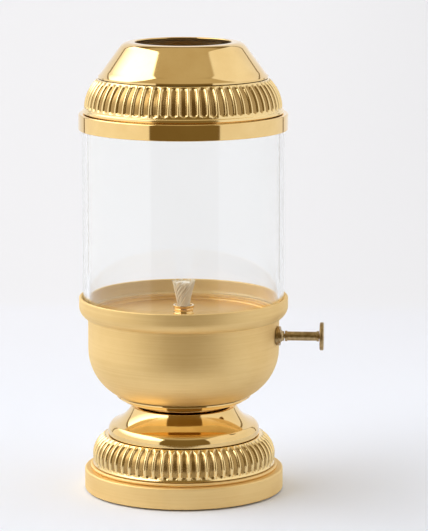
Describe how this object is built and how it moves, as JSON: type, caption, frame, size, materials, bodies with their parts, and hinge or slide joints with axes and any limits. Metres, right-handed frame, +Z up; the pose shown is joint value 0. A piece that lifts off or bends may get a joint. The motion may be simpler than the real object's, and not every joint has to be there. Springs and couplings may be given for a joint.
{
  "type": "oil lamp",
  "caption": "Round brass altar oil lamp: fluted stepped foot, oil bowl with drip pan and wick winder, clear glass chimney and lift-off fluted cap with an open crown.",
  "frame": {"origin": "centre of the baize pad's underside, on the table", "axes": "+Z up the lamp's axis, +X out along the winder spindle's direction to the knob, -Y towards the front"},
  "size_m": [0.1221, 0.1041, 0.2246],
  "materials": {
    "polished_brass": "mirror polished",
    "satin_brass": "satin, brushed round the axis",
    "fluted_brass": "semi-polished pressed flutes",
    "dull_brass": "dull, unpolished",
    "plain_steel": "plain zinc",
    "clear_glass": "clear, smooth",
    "cotton": "twisted undyed cotton cord",
    "baize": "felted baize",
    "nitrile": "moulded seal"
  },
  "bodies": {
    "lamp_body": {"baize_pad": "baize", "plinth": "satin_brass", "foot_fluted_ring": "fluted_brass", "foot_neck": "polished_brass", "fixing_stud": "plain_steel", "fixing_washer": "plain_steel", "fixing_nut": "plain_steel", "bowl_collar": "polished_brass", "bowl": "satin_brass", "pan_support_ring": "satin_brass", "gland_bush": "dull_brass", "packing_ring": "nitrile", "gland_seal": "nitrile", "gland_nut": "dull_brass", "spindle_bracket": "satin_brass"},
    "winder": {"spindle": "dull_brass", "spur_wheel": "dull_brass", "thrust_collar": "dull_brass", "knob_sleeve": "dull_brass", "knob_disc": "dull_brass"},
    "burner": {"drip_pan": "satin_brass", "wick_tube": "satin_brass", "burner_collar": "polished_brass", "burner_locknut": "polished_brass"},
    "wick": {"wick": "cotton"},
    "chimney": {"glass_chimney": "clear_glass"},
    "cap": {"cap_band": "polished_brass", "cap_dome": "fluted_brass", "cap_crown": "polished_brass"}
  },
  "joints": [
    {"name": "knob_turn", "type": "hinge", "parent": "lamp_body", "child": "winder", "pos_m": [0, -0.008, 0.0795], "axis": [1, 0, 0], "range_deg": [-20, 110]},
    {"name": "burner_lift", "type": "slide", "parent": "lamp_body", "child": "burner", "axis": [0, 0, 1], "range_m": [0, 0.045]},
    {"name": "wick_feed", "type": "slide", "parent": "burner", "child": "wick", "axis": [0, 0, 1], "range_m": [-0.0014, 0.0078]},
    {"name": "chimney_lift", "type": "slide", "parent": "lamp_body", "child": "chimney", "axis": [0, 0, 1], "range_m": [0, 0.03]},
    {"name": "cap_lift", "type": "slide", "parent": "chimney", "child": "cap", "axis": [0, 0, 1], "range_m": [0, 0.03]}
  ],
  "couplings": [
    {"joint": "knob_turn", "follows": "wick_feed", "rad_per_m": 243.9}
  ]
}
